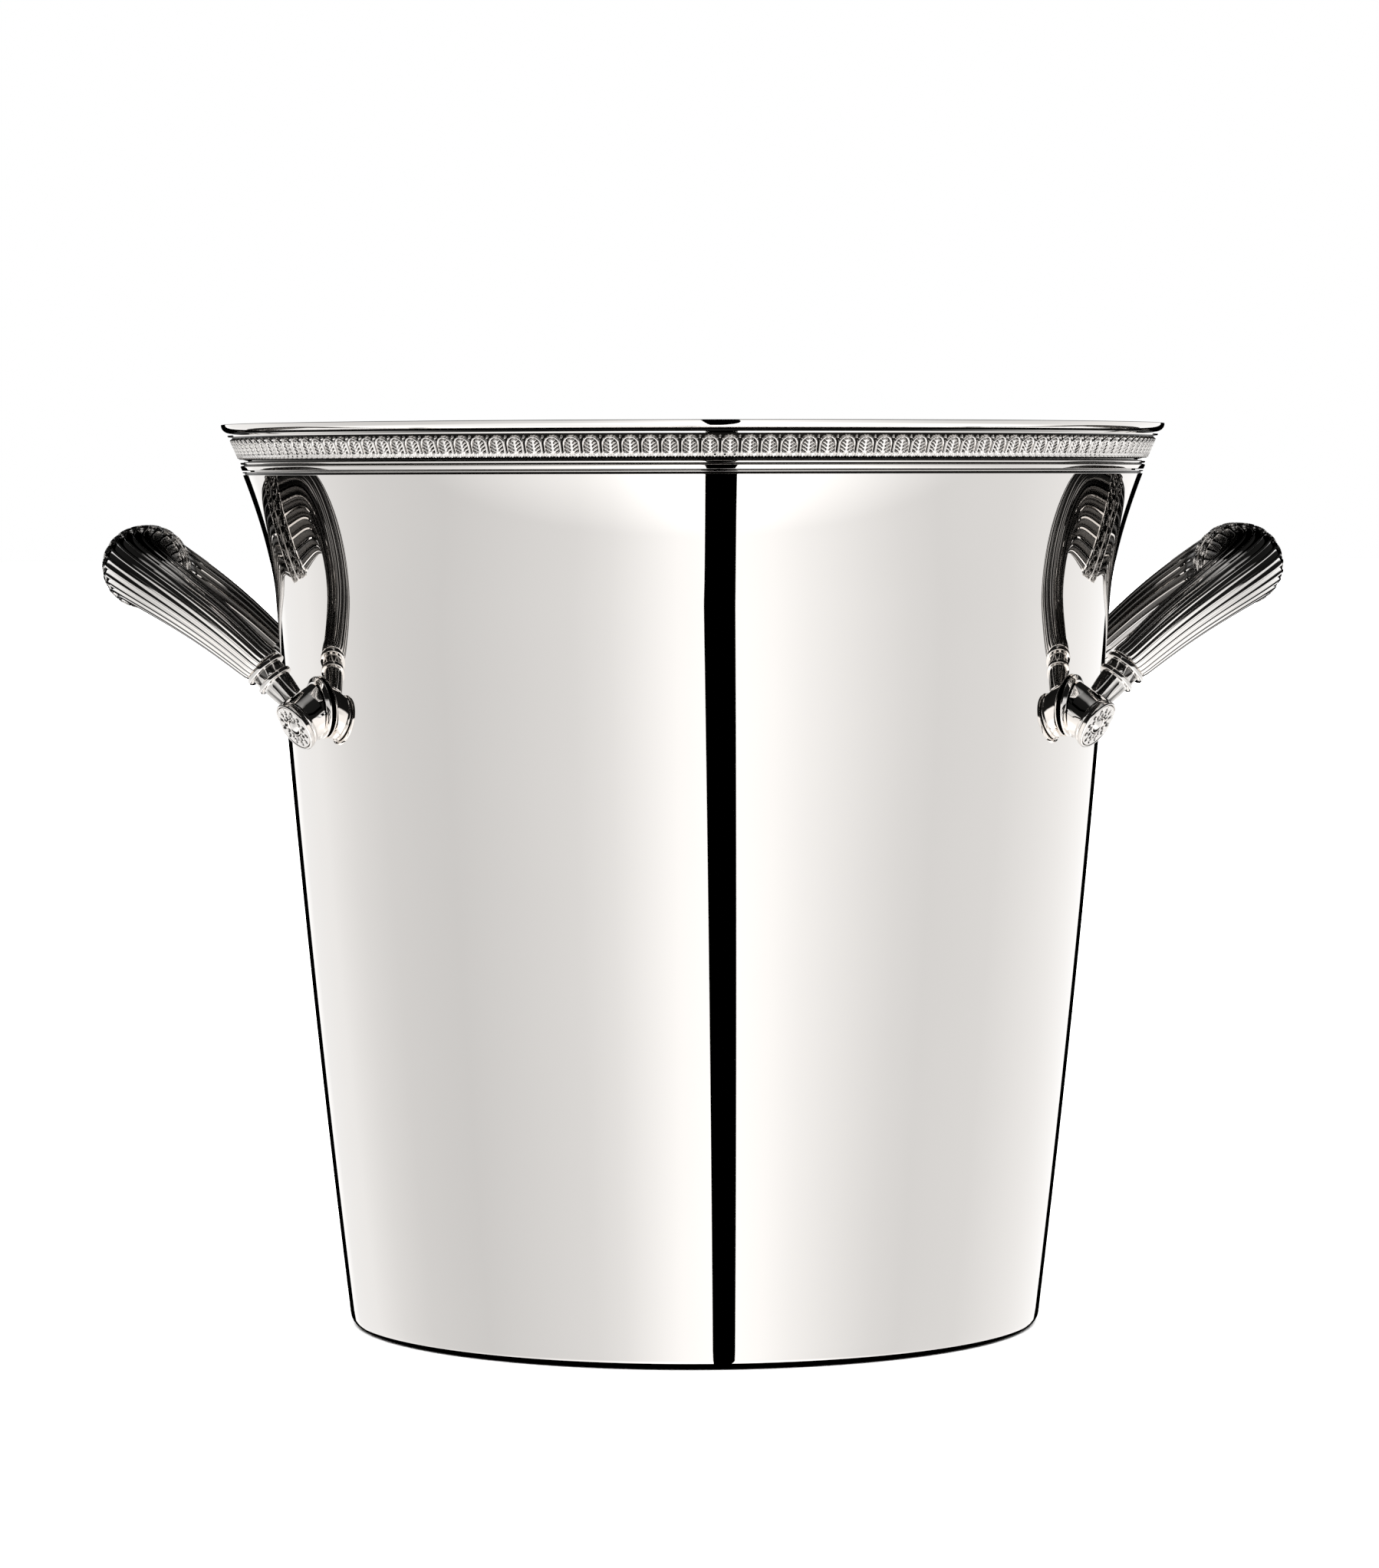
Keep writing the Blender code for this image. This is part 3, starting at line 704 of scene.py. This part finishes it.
def crown_relief(u, v, pitch):
    """Relief of one crown leaf, 0 to 1: u across it and v out from the band's middle, in mm."""
    across = np.abs(u)
    aside = pitch / 2.0 - across
    curl = np.hypot(across, v - CURL_PLACE)
    curls = np.maximum(0.95 * round_ridge(curl - 1.0, 0.20), 0.6 * round_ridge(curl, 0.34))
    half = 0.46 * pitch
    low_inside = half * (0.72 + 0.28 * smooth(v, 5.2, 2.4)) - across
    top_inside = (1.0 - np.hypot(across / half, (v - CROWN_LEAF_TIP) / CROWN_LEAF_TIP_RISE)) * 1.5
    inside = np.where(v > CROWN_LEAF_TIP, top_inside, low_inside)
    inside = np.where(v < CROWN_LEAF_FOOT, -1.0, inside)
    field = 0.18 * smooth(inside, 0.0, 0.14)
    rim = 1.0 * round_ridge(inside - 0.16, 0.15)
    rib = 0.9 * round_ridge(across, 0.15) * smooth(v, 4.1, 0.2) * smooth(-v, -7.5, 0.3)
    vein = 0.7 * round_ridge(across - 0.42 * (v - 4.7), 0.12)
    vein = vein * smooth(v, 4.8, 0.2) * smooth(inside, 0.2, 0.1)
    bud = 0.9 * round_ridge(np.hypot(aside, (v - CROWN_BUD_PLACE) / 1.3), 0.46)
    stem = 0.8 * round_ridge(aside, 0.15) * smooth(v, 1.4, 0.2) * smooth(-v, -3.8, 0.2)
    return np.maximum.reduce([curls, field, rim, rib, vein, bud, stem])


def crown_band(side_name, looks):
    """The band round the handle's crown: two rows of leaves beside a plain double ridge."""
    columns = 26
    turns = circle(CROWN_LEAVES * columns)
    pitch_angle = 2.0 * math.pi / CROWN_LEAVES
    pitch = pitch_angle * CROWN_RADIUS / MM
    u = (np.mod(turns / pitch_angle + 0.5, 1.0) - 0.5) * pitch
    widest = CROWN_HALF_WIDTH / MM
    widths = np.concatenate([[0.0], np.linspace(0.06, 1.2, 16),
                             np.linspace(1.32, widest - 0.06, 56), [widest]])
    v = widths[:, None]
    leaf = crown_relief(u[None, :], v, pitch)
    ridge = np.maximum(round_ridge(v - RIDGE_PLACE, 0.36), 0.8 * round_ridge(v - LINE_PLACE, 0.2))
    level = np.where(v < RIDGES_EDGE, np.broadcast_to(ridge, leaf.shape), leaf)
    depth = CROWN_DEPTH * (1.0 - level)
    radius = CROWN_RADIUS - depth
    # Painted shade: everything below the highest parts of the leaves and ridges is painted dark.
    shade = smooth(-level, -0.88, 0.14)
    offsets = np.concatenate([-widths[:0:-1], widths]) * MM
    r = np.concatenate([radius[:0:-1], radius])
    painted_shade = np.concatenate([shade[:0:-1], shade])
    z = np.broadcast_to(offsets[:, None], r.shape)
    rings = np.stack([r * np.cos(turns), r * np.sin(turns), z], axis=-1)
    centre = handle_point(SIDES[side_name], 1, HANDLE_RISE, 0.0)
    frame_here = axis_frame(centre, Vector((0.0, 1.0, 0.0)))
    piece(f"{side_name}_crown_band_leaves", placed(rings, frame_here), [f"{side_name}_crown_band"],
          looks["ornament"], painted_shade=painted_shade, sharp=75.0)


def collar_profile():
    """Points (r, z) down the collar: the upper ring, the drum, the lower ring and the neck."""
    half, lower = RING_HALF_HEIGHT, RING_SPACING
    upper_ring = [(UPPER_RING_RADIUS - 0.0006, -half, 0.0), (UPPER_RING_RADIUS, -half * 0.8, 0.0003),
                  (UPPER_RING_RADIUS, half * 0.8, 0.0003), (DRUM_RADIUS, half, 0.0001)]
    drum = [(DRUM_RADIUS, z, 0.0) for z in spread(half * 1.3, lower - half * 1.3, 12)]
    lower_ring = [(DRUM_RADIUS, lower - half, 0.0001), (LOWER_RING_RADIUS, lower - half * 0.8, 0.0003),
                  (LOWER_RING_RADIUS, lower + half * 0.8, 0.0003), (NECK_TOP_RADIUS, lower + half, 0.0001)]
    neck = []
    for share in spread(0.0, 1.0, 20)[1:]:
        swell = 0.5 - 0.5 * math.cos(math.pi * min(1.0, share * 1.4))
        neck.append((NECK_TOP_RADIUS + (NECK_LOW_RADIUS - NECK_TOP_RADIUS) * swell,
                     lower + half + share * (NECK_LENGTH - half), 0.0))
    return rounded(upper_ring + drum + lower_ring + neck, 6)


def collar(side_name, end_name, looks):
    """A turned collar: ring, leafy drum, ring, and a leafy neck saddled over the boss."""
    side, end = SIDES[side_name], ENDS[end_name]
    turns = circle(DRUM_LEAVES * 24)
    r, z = np.array(collar_profile()).T
    rings = turned(list(zip(r, z)), turns)
    cell = np.abs(np.mod(turns * DRUM_LEAVES / (2.0 * math.pi), 1.0) - 0.5) * 2.0
    half, lower = RING_HALF_HEIGHT, RING_SPACING
    drum_share = np.clip((z - half) / (lower - 2.0 * half), 0.0, 1.0)[:, None]
    on_drum = ((z > half * 1.1) & (z < lower - half * 1.1))[:, None]
    leaf = round_ridge(cell - 0.5 * drum_share, 0.32) + 0.8 * round_ridge(cell, 0.18)
    neck_share = np.clip((z - lower - half) / (NECK_LENGTH * 0.62), 0.0, 1.0)[:, None]
    on_neck = (z > lower + half * 1.3)[:, None] & (neck_share < 1.0)
    lobe = round_ridge(cell, 0.92 * np.sqrt(np.clip(1.0 - neck_share ** 2, 0.0, 1.0)) + 0.02)
    vein = round_ridge(cell, 0.12)
    sink = on_drum * DRUM_RELIEF * (1.0 - np.clip(leaf, 0.0, 1.0))
    sink = sink + on_neck * NECK_RELIEF * (1.0 - np.clip(0.8 * lobe + 0.3 * vein, 0.0, 1.0))
    radial = rings[..., :2] / np.maximum(np.linalg.norm(rings[..., :2], axis=-1, keepdims=True), 1e-9)
    rings[..., :2] -= radial * sink[..., None]
    # Painted shade: the sunk ground between the drum's and the neck's leaves is painted dark, in proportion
    # to depth.
    shade = np.clip(sink / NECK_RELIEF, 0.0, 1.0) * 0.8
    place = collar_frame(side, end)
    points = placed(rings, place)
    points = saddle(points, np.array(place)[:3, 2], side, end)
    piece(f"{side_name}_{end_name}_collar_leafy", points, [f"{side_name}_{end_name}_collar"],
          looks["cast"], painted_shade=shade, sharp=60.0)


def saddle(points, direction, side, end):
    """Pull the collar's points back along its axis, so that none enters the boss's drum."""
    axis = np.array(boss_axis(side, end))
    origin = np.array(wall_contact(side, end)[0])
    clear = BOSS_RADIUS + GAP
    offset = points - origin
    offset = offset - (offset @ axis)[..., None] * axis
    heading = direction - (direction @ axis) * axis
    a = heading @ heading
    b = 2.0 * (offset @ heading)
    c = np.einsum("...i,...i->...", offset, offset) - clear * clear
    root = np.sqrt(np.maximum(b * b - 4.0 * a * c, 0.0))
    back = (-b - root) / (2.0 * a)
    inside = (b * b - 4.0 * a * c > 0.0) & (back < 0.0)
    return points + np.where(inside, back, 0.0)[..., None] * direction


BOSS_TURNS = 96


def boss(side_name, end_name, looks):
    """A short drum with a ring at its outer end, cut off to stand flush on the wall plate."""
    side, end = SIDES[side_name], ENDS[end_name]
    contact, normal = wall_contact(side, end)
    axis = boss_axis(side, end)
    radius, length = BOSS_RADIUS, BOSS_LENGTH
    corners = [
        (HUB, length, 0.0), (radius - 0.0001, length, 0.0002), (radius, length - 0.0004, 0.0003),
        (radius - 0.0001, length - 0.0008, 0.0002), (radius - 0.0003, length - 0.0010, 0.0001),
        (radius - 0.0002, length - 0.0022, 0.004), (radius, 0.0020, 0.004), (radius, -length, 0.0),
    ]
    rings = turned(rounded(corners, 5), circle(BOSS_TURNS))
    points = placed(rings, axis_frame(contact, axis))
    face = np.array(contact + normal * (2.0 * GAP + PLATE_THICKNESS))
    square = np.array(normal)
    heading = np.array(axis)
    below = (points - face) @ square
    slide = np.where(below < 0.0, -below / (heading @ square), 0.0)
    points = points + slide[..., None] * heading
    piece(f"{side_name}_{end_name}_boss_drum", points, [f"{side_name}_{end_name}_boss"],
          looks["cast"], sharp=40.0)


def wall_plate(side_name, end_name, looks):
    """The soldering plate between the wall and a boss: a cushion with a rounded edge."""
    contact, normal = wall_contact(SIDES[side_name], ENDS[end_name])
    radius, thick = PLATE_RADIUS, PLATE_THICKNESS
    corners = [
        (HUB, thick, 0.0), (radius - 0.0011, thick, 0.0006), (radius, thick * 0.35, 0.0009),
        (radius, 0.0, 0.0001), (HUB, 0.0, 0.0),
    ]
    rings = turned(rounded(corners, 8), circle(BOSS_TURNS))
    points = placed(rings, axis_frame(contact + normal * GAP, normal))
    piece(f"{side_name}_{end_name}_plate_cushion", points, [f"{side_name}_{end_name}_wall_plate"],
          looks["cast"], sharp=40.0)


def rosette(side_name, end_name, looks):
    """The round cap on a boss: a raised rim, petals with pits and slots, a ring and a dome."""
    side, end = SIDES[side_name], ENDS[end_name]
    axis = boss_axis(side, end)
    radius, top = ROSETTE_RADIUS, ROSETTE_THICKNESS
    turns = circle(ROSETTE_PETALS * 20)
    share = np.linspace(0.995, 0.04, 60)[:, None]
    cell = (np.mod(turns * ROSETTE_PETALS / (2.0 * math.pi), 1.0) - 0.5)[None, :]
    aside = np.abs(cell)
    arc_mm = share * radius / MM * 2.0 * math.pi / ROSETTE_PETALS
    out_mm = share * radius / MM
    flat = np.ones_like(cell)
    rim = round_ridge(share - 0.945, 0.055) * flat
    dome = 1.25 * round_ridge(share, 0.25) * flat
    ring = 0.9 * round_ridge(share - 0.325, 0.035) * flat
    petals = 0.86 * ((share > 0.38) & (share < 0.87)) * flat
    pit = round_ridge(np.hypot(cell * arc_mm, (out_mm - ROSETTE_PIT_PLACE) / 1.3), 0.50)
    slot = round_ridge(np.hypot((0.5 - aside) * arc_mm, (out_mm - ROSETTE_SLOT_PLACE) / 1.6), 0.50)
    petals = petals * (1.0 - np.maximum(smooth(pit, 0.3, 0.4), smooth(slot, 0.3, 0.4)))
    level = np.maximum.reduce([rim, dome, ring, petals])
    front_z = top - ROSETTE_DEPTH * (1.0 - level)
    front_r = np.broadcast_to(share * radius, front_z.shape)
    front = np.stack([front_r * np.cos(turns), front_r * np.sin(turns), front_z], axis=-1)
    edge = rounded([(HUB, 0.0, 0.0), (radius, 0.0, 0.0001), (radius, top - 0.0003, 0.0)], 3)
    rings = np.concatenate([turned(edge, turns), front])
    # Painted shade: the pits, slots and sunk ground of the petals are painted dark.
    shade = np.concatenate([np.zeros((len(edge), len(turns))), smooth(-level, -0.42, 0.2)])
    place = axis_frame(wall_contact(side, end)[0] + axis * (BOSS_LENGTH + GAP), axis)
    piece(f"{side_name}_{end_name}_rosette_petals", placed(rings, place),
          [f"{side_name}_{end_name}_rosette"], looks["ornament"],
          painted_shade=shade, sharp=75.0)


# ---------------------------------------------------------------- stage

CAMERA_DISTANCE = 1.262
CAMERA_HEIGHT = 0.1873
CAMERA_YAW = math.radians(-0.8)
CAMERA_PITCH = math.radians(3.06)
CAMERA_ROLL = math.radians(-0.13)
CAMERA_ASIDE = 0.00089
SENSOR = 36.0
LENS = 129.9

# Brightness of the studio's walls round the bucket. Bearing 0 is towards the camera, and
# positive bearings lie to the right of the view, in degrees.
STUDIO = [
    (-180, 1.05), (-158, 1.05), (-152, 0.90), (-132, 0.87), (-113, 0.75), (-98, 0.68), (-85, 0.655),
    (-73, 0.64), (-52, 0.69), (-33, 0.74), (-23, 0.81), (-14, 0.92), (-4, 1.05), (5, 1.10),
    (14, 1.10), (22, 1.05), (32, 0.95), (41, 0.88), (51, 0.81), (61, 0.75), (72, 0.71),
    (97, 0.74), (111, 0.80), (130, 0.88), (150, 0.98), (160, 1.05), (180, 1.05),
]

# How it changes with elevation, in degrees: brightest far below, black over the horizon, and
# grey overhead.
ELEVATIONS = [
    (-90, 1.5), (-46, 1.5), (-32, 1.0), (2, 1.0), (6, 0.01), (64, 0.01), (74, 0.35), (90, 0.45),
]

# The black flag behind the bucket, which draws its dark edges: the bearings of its two ends.
FLAG_LEFT = -160.0
FLAG_RIGHT = 160.5

# The narrow black card beside the camera that the bucket mirrors as a dark stripe: how far it
# stands in front of the axis, and its left and right edges at two heights.
STRIPE_AHEAD = 0.17
STRIPE_EDGES = [(-0.30, 0.0245, 0.0405), (0.40, -0.0045, 0.0150)]

# The dark disc under the base is a painted contact shadow, standing for the shaded floor by the
# foot, and darkens the lowest part of the rounded corner. It lies a little nearer the camera than
# the base, and just under the floor.
DISC_RADIUS = BASE_RADIUS - 0.0004
DISC_NEARER = 0.002
DISC_DEPTH = 0.0004

FLOOR_REACH = 12.0
SUN_STRENGTH = 9.0
SUN_WIDTH = math.radians(90.0)


def view_axes():
    """The level direction away from the camera, and the one to the right of the view."""
    level = Vector((-math.sin(CAMERA_YAW), math.cos(CAMERA_YAW), 0.0))
    right = Vector((math.cos(CAMERA_YAW), math.sin(CAMERA_YAW), 0.0))
    return level, right


def camera():
    """The scene's camera, a little lower than the rim and tilted slightly down."""
    pitch, roll = CAMERA_PITCH, CAMERA_ROLL
    level, right = view_axes()
    place = level * -CAMERA_DISTANCE + right * -CAMERA_ASIDE + Vector((0.0, 0.0, CAMERA_HEIGHT))
    forward = level * math.cos(pitch) - Vector((0.0, 0.0, math.sin(pitch)))
    up = right.cross(forward)
    right, up = right * math.cos(roll) + up * math.sin(roll), up * math.cos(roll) - right * math.sin(roll)
    data = bpy.data.cameras.new("camera")
    data.sensor_width = SENSOR
    data.lens = LENS
    data.clip_start = 0.05
    data.clip_end = 50.0
    obj = bpy.data.objects.new("camera", data)
    bpy.context.scene.collection.objects.link(obj)
    turn = Matrix((right, up, -forward)).transposed().to_4x4()
    obj.matrix_world = Matrix.Translation(place) @ turn
    bpy.context.scene.camera = obj


def studio():
    """The world: white to the camera, and a room with grey walls and a black flag to the silver."""
    world = bpy.data.worlds.new("studio")
    bpy.context.scene.world = world
    world.use_nodes = True
    nodes, links = world.node_tree.nodes, world.node_tree.links
    nodes.clear()
    direction = nodes.new("ShaderNodeTexCoord").outputs["Generated"]

    def dot(vector):
        node = nodes.new("ShaderNodeVectorMath")
        node.operation = "DOT_PRODUCT"
        node.inputs[1].default_value = vector
        links.new(direction, node.inputs[0])
        return node.outputs["Value"]

    def calculate(operation, *terms):
        node = nodes.new("ShaderNodeMath")
        node.operation = operation
        for socket, term in zip(node.inputs, terms):
            if isinstance(term, (int, float)):
                socket.default_value = term
            else:
                links.new(term, socket)
        return node.outputs["Value"]

    def ramp(value, low, high, stops):
        share = nodes.new("ShaderNodeMapRange")
        share.inputs["From Min"].default_value = low
        share.inputs["From Max"].default_value = high
        links.new(value, share.inputs["Value"])
        node = nodes.new("ShaderNodeValToRGB")
        elements = node.color_ramp.elements
        places = [((at - low) / (high - low), level) for at, level in stops]
        for element, (at, level) in zip(elements, (places[0], places[-1])):
            element.position = at
            element.color = (level, level, level, 1.0)
        for at, level in places[1:-1]:
            elements.new(at).color = (level, level, level, 1.0)
        links.new(share.outputs["Result"], node.inputs["Fac"])
        return node.outputs["Color"]

    level, right = view_axes()
    bearing = calculate("ARCTAN2", dot(right), dot(-level))
    bearing = calculate("MULTIPLY", bearing, math.degrees(1.0))
    elevation = calculate("MULTIPLY", calculate("ARCSINE", dot((0.0, 0.0, 1.0))), math.degrees(1.0))
    walls = ramp(bearing, -180.0, 180.0, STUDIO)
    levels = ramp(elevation, -90.0, 90.0, ELEVATIONS)

    flag = calculate("ADD", calculate("LESS_THAN", bearing, FLAG_LEFT),
                     calculate("GREATER_THAN", bearing, FLAG_RIGHT))
    clear = calculate("SUBTRACT", 1.0, flag)

    room = nodes.new("ShaderNodeMix")
    room.data_type = "RGBA"
    room.blend_type = "MULTIPLY"
    room.inputs["Factor"].default_value = 1.0
    links.new(walls, room.inputs["A"])
    links.new(levels, room.inputs["B"])
    flagged = nodes.new("ShaderNodeMix")
    flagged.data_type = "RGBA"
    flagged.inputs["A"].default_value = (0.0, 0.0, 0.0, 1.0)
    links.new(clear, flagged.inputs["Factor"])
    links.new(room.outputs["Result"], flagged.inputs["B"])
    seen = nodes.new("ShaderNodeLightPath")
    plain = nodes.new("ShaderNodeMix")
    plain.data_type = "RGBA"
    plain.inputs["B"].default_value = (1.0, 1.0, 1.0, 1.0)
    links.new(seen.outputs["Is Camera Ray"], plain.inputs["Factor"])
    links.new(flagged.outputs["Result"], plain.inputs["A"])
    background = nodes.new("ShaderNodeBackground")
    background.inputs["Strength"].default_value = 1.0
    links.new(plain.outputs["Result"], background.inputs["Color"])
    output = nodes.new("ShaderNodeOutputWorld")
    links.new(background.outputs["Background"], output.inputs["Surface"])


def stage_mesh(name, points, faces, material):
    """A stage object that belongs to the studio and not to the bucket."""
    mesh = bpy.data.meshes.new(name)
    mesh.from_pydata([tuple(p) for p in points], [], faces)
    mesh.materials.append(material)
    obj = bpy.data.objects.new(name, mesh)
    bpy.context.scene.collection.objects.link(obj)
    return obj


def floor():
    """A plain pale floor that the silver doesn't mirror."""
    material = bpy.data.materials.new("floor")
    material.use_nodes = True
    shader = material.node_tree.nodes["Principled BSDF"]
    shader.inputs["Base Color"].default_value = (0.95, 0.95, 0.95, 1.0)
    shader.inputs["Roughness"].default_value = 0.9
    shader.inputs["Specular IOR Level"].default_value = 0.0
    reach = FLOOR_REACH
    points = [(-reach, -reach, 0), (reach, -reach, 0), (reach, reach, 0), (-reach, reach, 0)]
    obj = stage_mesh("floor", points, [(0, 1, 2, 3)], material)
    obj.visible_glossy = False


def black_cards():
    """The black stripe card, and the disc under the base that is a painted contact shadow; only the silver
    shows them.
    """
    material = bpy.data.materials.new("black_card")
    material.use_nodes = True
    shader = material.node_tree.nodes["Principled BSDF"]
    shader.inputs["Base Color"].default_value = (0.0, 0.0, 0.0, 1.0)
    shader.inputs["Specular IOR Level"].default_value = 0.0
    level, right = view_axes()
    up = Vector((0.0, 0.0, 1.0))
    (low, low_left, low_right), (high, high_left, high_right) = STRIPE_EDGES
    corners = [(low_left, low), (low_right, low), (high_right, high), (high_left, high)]
    stripe = [level * -STRIPE_AHEAD + right * x + up * z for x, z in corners]
    centre = level * -DISC_NEARER - up * DISC_DEPTH
    turns = circle(128)
    disc = [centre + DISC_RADIUS * Vector((math.cos(a), math.sin(a), 0.0)) for a in turns]
    for obj in (stage_mesh("stripe_card", stripe, [(0, 1, 2, 3)], material),
                stage_mesh("contact_shadow_disc", disc, [tuple(range(len(turns)))], material)):
        obj.visible_camera = False
        obj.visible_diffuse = False
        obj.visible_shadow = False


def lights():
    """A soft sun above that whitens the floor and isn't mirrored in the silver."""
    data = bpy.data.lights.new("overhead", "SUN")
    data.energy = SUN_STRENGTH
    data.angle = SUN_WIDTH
    obj = bpy.data.objects.new("overhead", data)
    bpy.context.scene.collection.objects.link(obj)
    obj.visible_glossy = False
    obj.visible_camera = False


def main():
    looks = materials()
    bucket_shell(looks)
    rim_bead(looks)
    frieze_strips(looks)
    rim_lip(looks)
    for side_name in SIDES:
        crown_band(side_name, looks)
        for end_name in ENDS:
            arm(side_name, end_name, looks)
            collar(side_name, end_name, looks)
            boss(side_name, end_name, looks)
            wall_plate(side_name, end_name, looks)
            rosette(side_name, end_name, looks)
    camera()
    studio()
    floor()
    black_cards()
    lights()
    bpy.context.scene.view_settings.view_transform = "Standard"


main()
